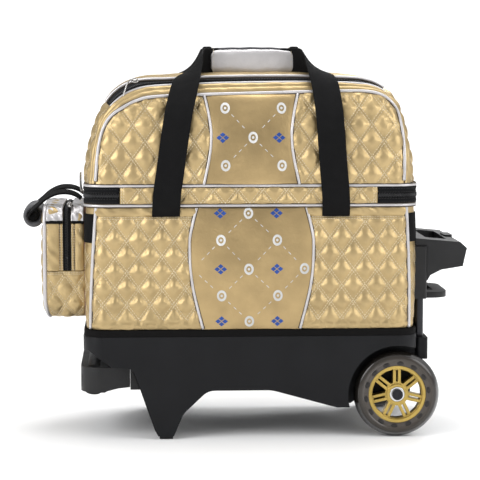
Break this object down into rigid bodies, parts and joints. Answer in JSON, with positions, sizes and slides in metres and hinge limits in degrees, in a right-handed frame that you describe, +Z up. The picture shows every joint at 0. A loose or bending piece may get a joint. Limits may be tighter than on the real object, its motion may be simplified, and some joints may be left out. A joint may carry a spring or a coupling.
{
  "type": "bowling ball bag",
  "caption": "Wheeled carrier bag for bowling balls: moulded base with legs and wheels, quilted ball compartment, hinged shoe lid, pull-out handle and webbing handles.",
  "frame": {"origin": "on the floor, under the middle of the overall length and depth", "axes": "+X along the bag towards the wheels and the pull-out handle, +Y from the front face towards the back, +Z up"},
  "size_m": [0.657, 0.2842, 0.574],
  "materials": {
    "base_plastic": "fine moulded texture",
    "trim_rubber": "matt",
    "sole_rubber": "matt",
    "cup_foam": "closed-cell foam, matt",
    "gold_leather": "metallic coated, quilted",
    "board": "matt",
    "black_webbing": "woven",
    "zip_fabric": "woven tape",
    "silver_leather": "metallic coated",
    "zip_metal": "plated",
    "grip_rubber": "matt",
    "tyre": "smoky cast urethane",
    "hub_gold": "metallic gold",
    "bearing_steel": "ground",
    "dark_steel": "black oxide",
    "axle_steel": "turned",
    "tube_metal": "black anodised"
  },
  "bodies": {
    "base": {"base_tub": "base_plastic", "base_trim_band": "trim_rubber", "leg_soles": "sole_rubber", "base_lift_handle": "base_plastic", "lift_handle_brackets": "base_plastic", "foam_cup_left": "cup_foam", "foam_cup_right": "cup_foam", "wheel_axle": "axle_steel", "axle_bolt_heads": "dark_steel", "axle_spacers": "axle_steel", "tube_foot_block": "base_plastic", "tube_bezel": "base_plastic", "outer_tubes": "tube_metal", "ball_compartment_shell": "gold_leather", "bay_divider": "zip_fabric", "end_strips": "black_webbing", "main_zip_tape_lower": "zip_fabric", "hinge_band_lower": "gold_leather", "pocket_lower_box": "gold_leather", "pocket_back_half": "gold_leather"},
    "near_wheel": {"near_wheel_tyre": "tyre", "near_wheel_hub": "hub_gold", "near_wheel_bearings": "bearing_steel"},
    "far_wheel": {"far_wheel_tyre": "tyre", "far_wheel_hub": "hub_gold", "far_wheel_bearings": "bearing_steel"},
    "pull_stage_1": {"pull_stage_1_tubes": "tube_metal"},
    "pull_stage_2": {"pull_stage_2_tubes": "tube_metal"},
    "pull_stage_3": {"pull_stage_3_tubes": "tube_metal"},
    "pull_handle": {"pull_stage_4_tubes": "tube_metal", "pull_head": "base_plastic"},
    "release_button": {"pull_release_button": "base_plastic"},
    "lid": {"lid_shell": "gold_leather", "lid_floor": "board", "main_zip_tape_upper": "zip_fabric", "hinge_band_upper": "gold_leather"},
    "shoe_zip": {"shoe_zip_slider": "zip_metal"},
    "front_handle": {"front_handle_webbing": "black_webbing", "front_grip_wrap": "silver_leather"},
    "rear_handle": {"rear_handle_webbing": "black_webbing", "rear_grip_wrap": "grip_rubber"},
    "side_grip": {"side_grip_webbing": "black_webbing", "side_grip_sleeve": "grip_rubber"},
    "pocket_flap": {"pocket_front_half": "gold_leather"},
    "main_zip_near": {"main_zip_slider_near": "zip_metal"},
    "main_zip_far": {"main_zip_slider_far": "zip_metal"},
    "pocket_zip": {"pocket_zip_slider": "zip_metal"}
  },
  "joints": [
    {"name": "near_wheel_spin", "type": "hinge", "parent": "base", "child": "near_wheel", "pos_m": [0.2221, -0.117, 0.0635], "axis": [0, 1, 0], "continuous": true},
    {"name": "far_wheel_spin", "type": "hinge", "parent": "base", "child": "far_wheel", "pos_m": [0.2221, 0.117, 0.0635], "axis": [0, 1, 0], "continuous": true},
    {"name": "pull_extend", "type": "slide", "parent": "base", "child": "pull_stage_1", "axis": [0, 0, 1], "range_m": [0, 0.148]},
    {"name": "pull_extend_2", "type": "slide", "parent": "pull_stage_1", "child": "pull_stage_2", "axis": [0, 0, 1], "range_m": [0, 0.148]},
    {"name": "pull_extend_3", "type": "slide", "parent": "pull_stage_2", "child": "pull_stage_3", "axis": [0, 0, 1], "range_m": [0, 0.148]},
    {"name": "pull_extend_4", "type": "slide", "parent": "pull_stage_3", "child": "pull_handle", "axis": [0, 0, 1], "range_m": [0, 0.148]},
    {"name": "release_button_press", "type": "slide", "parent": "pull_handle", "child": "release_button", "axis": [0, 0, -1], "range_m": [0, 0.003], "stiffness_N_per_m": 400},
    {"name": "lid_open", "type": "hinge", "parent": "base", "child": "lid", "pos_m": [0.0065, -0.138, 0.359], "axis": [1, 0, 0], "range_deg": [0, 100]},
    {"name": "front_handle_swing", "type": "hinge", "parent": "base", "child": "front_handle", "pos_m": [0.0065, -0.1405, 0.334], "axis": [1, 0, 0], "range_deg": [0, 170]},
    {"name": "rear_handle_swing", "type": "hinge", "parent": "base", "child": "rear_handle", "pos_m": [0.0065, 0.1405, 0.334], "axis": [-1, 0, 0], "range_deg": [0, 170]},
    {"name": "side_grip_lift", "type": "hinge", "parent": "base", "child": "side_grip", "pos_m": [-0.2425, 0, 0.35], "axis": [0, 1, 0], "range_deg": [0, 60]},
    {"name": "pocket_open", "type": "hinge", "parent": "base", "child": "pocket_flap", "pos_m": [-0.2965, 0, 0.2445], "axis": [0, -1, 0], "range_deg": [0, 20]},
    {"name": "main_zip_near_slide", "type": "slide", "parent": "base", "child": "main_zip_near", "axis": [0, -1, 0], "range_m": [0, 0.035]},
    {"name": "main_zip_far_slide", "type": "slide", "parent": "base", "child": "main_zip_far", "axis": [0, 1, 0], "range_m": [0, 0.035]},
    {"name": "shoe_zip_slide", "type": "slide", "parent": "lid", "child": "shoe_zip", "axis": [1, 0, 0], "range_m": [0, 0.02]},
    {"name": "pocket_zip_slide", "type": "slide", "parent": "base", "child": "pocket_zip", "axis": [0, 1, 0], "range_m": [0, 0.16]}
  ],
  "couplings": [
    {"joint": "pull_extend_2", "follows": "pull_extend", "ratio": 1},
    {"joint": "pull_extend_3", "follows": "pull_extend", "ratio": 1},
    {"joint": "pull_extend_4", "follows": "pull_extend", "ratio": 1},
    {"joint": "front_handle_swing", "follows": "lid_open", "ratio": 1.7},
    {"joint": "rear_handle_swing", "follows": "lid_open", "ratio": 1.7},
    {"joint": "pocket_open", "follows": "side_grip_lift", "ratio": 0.33333}
  ]
}
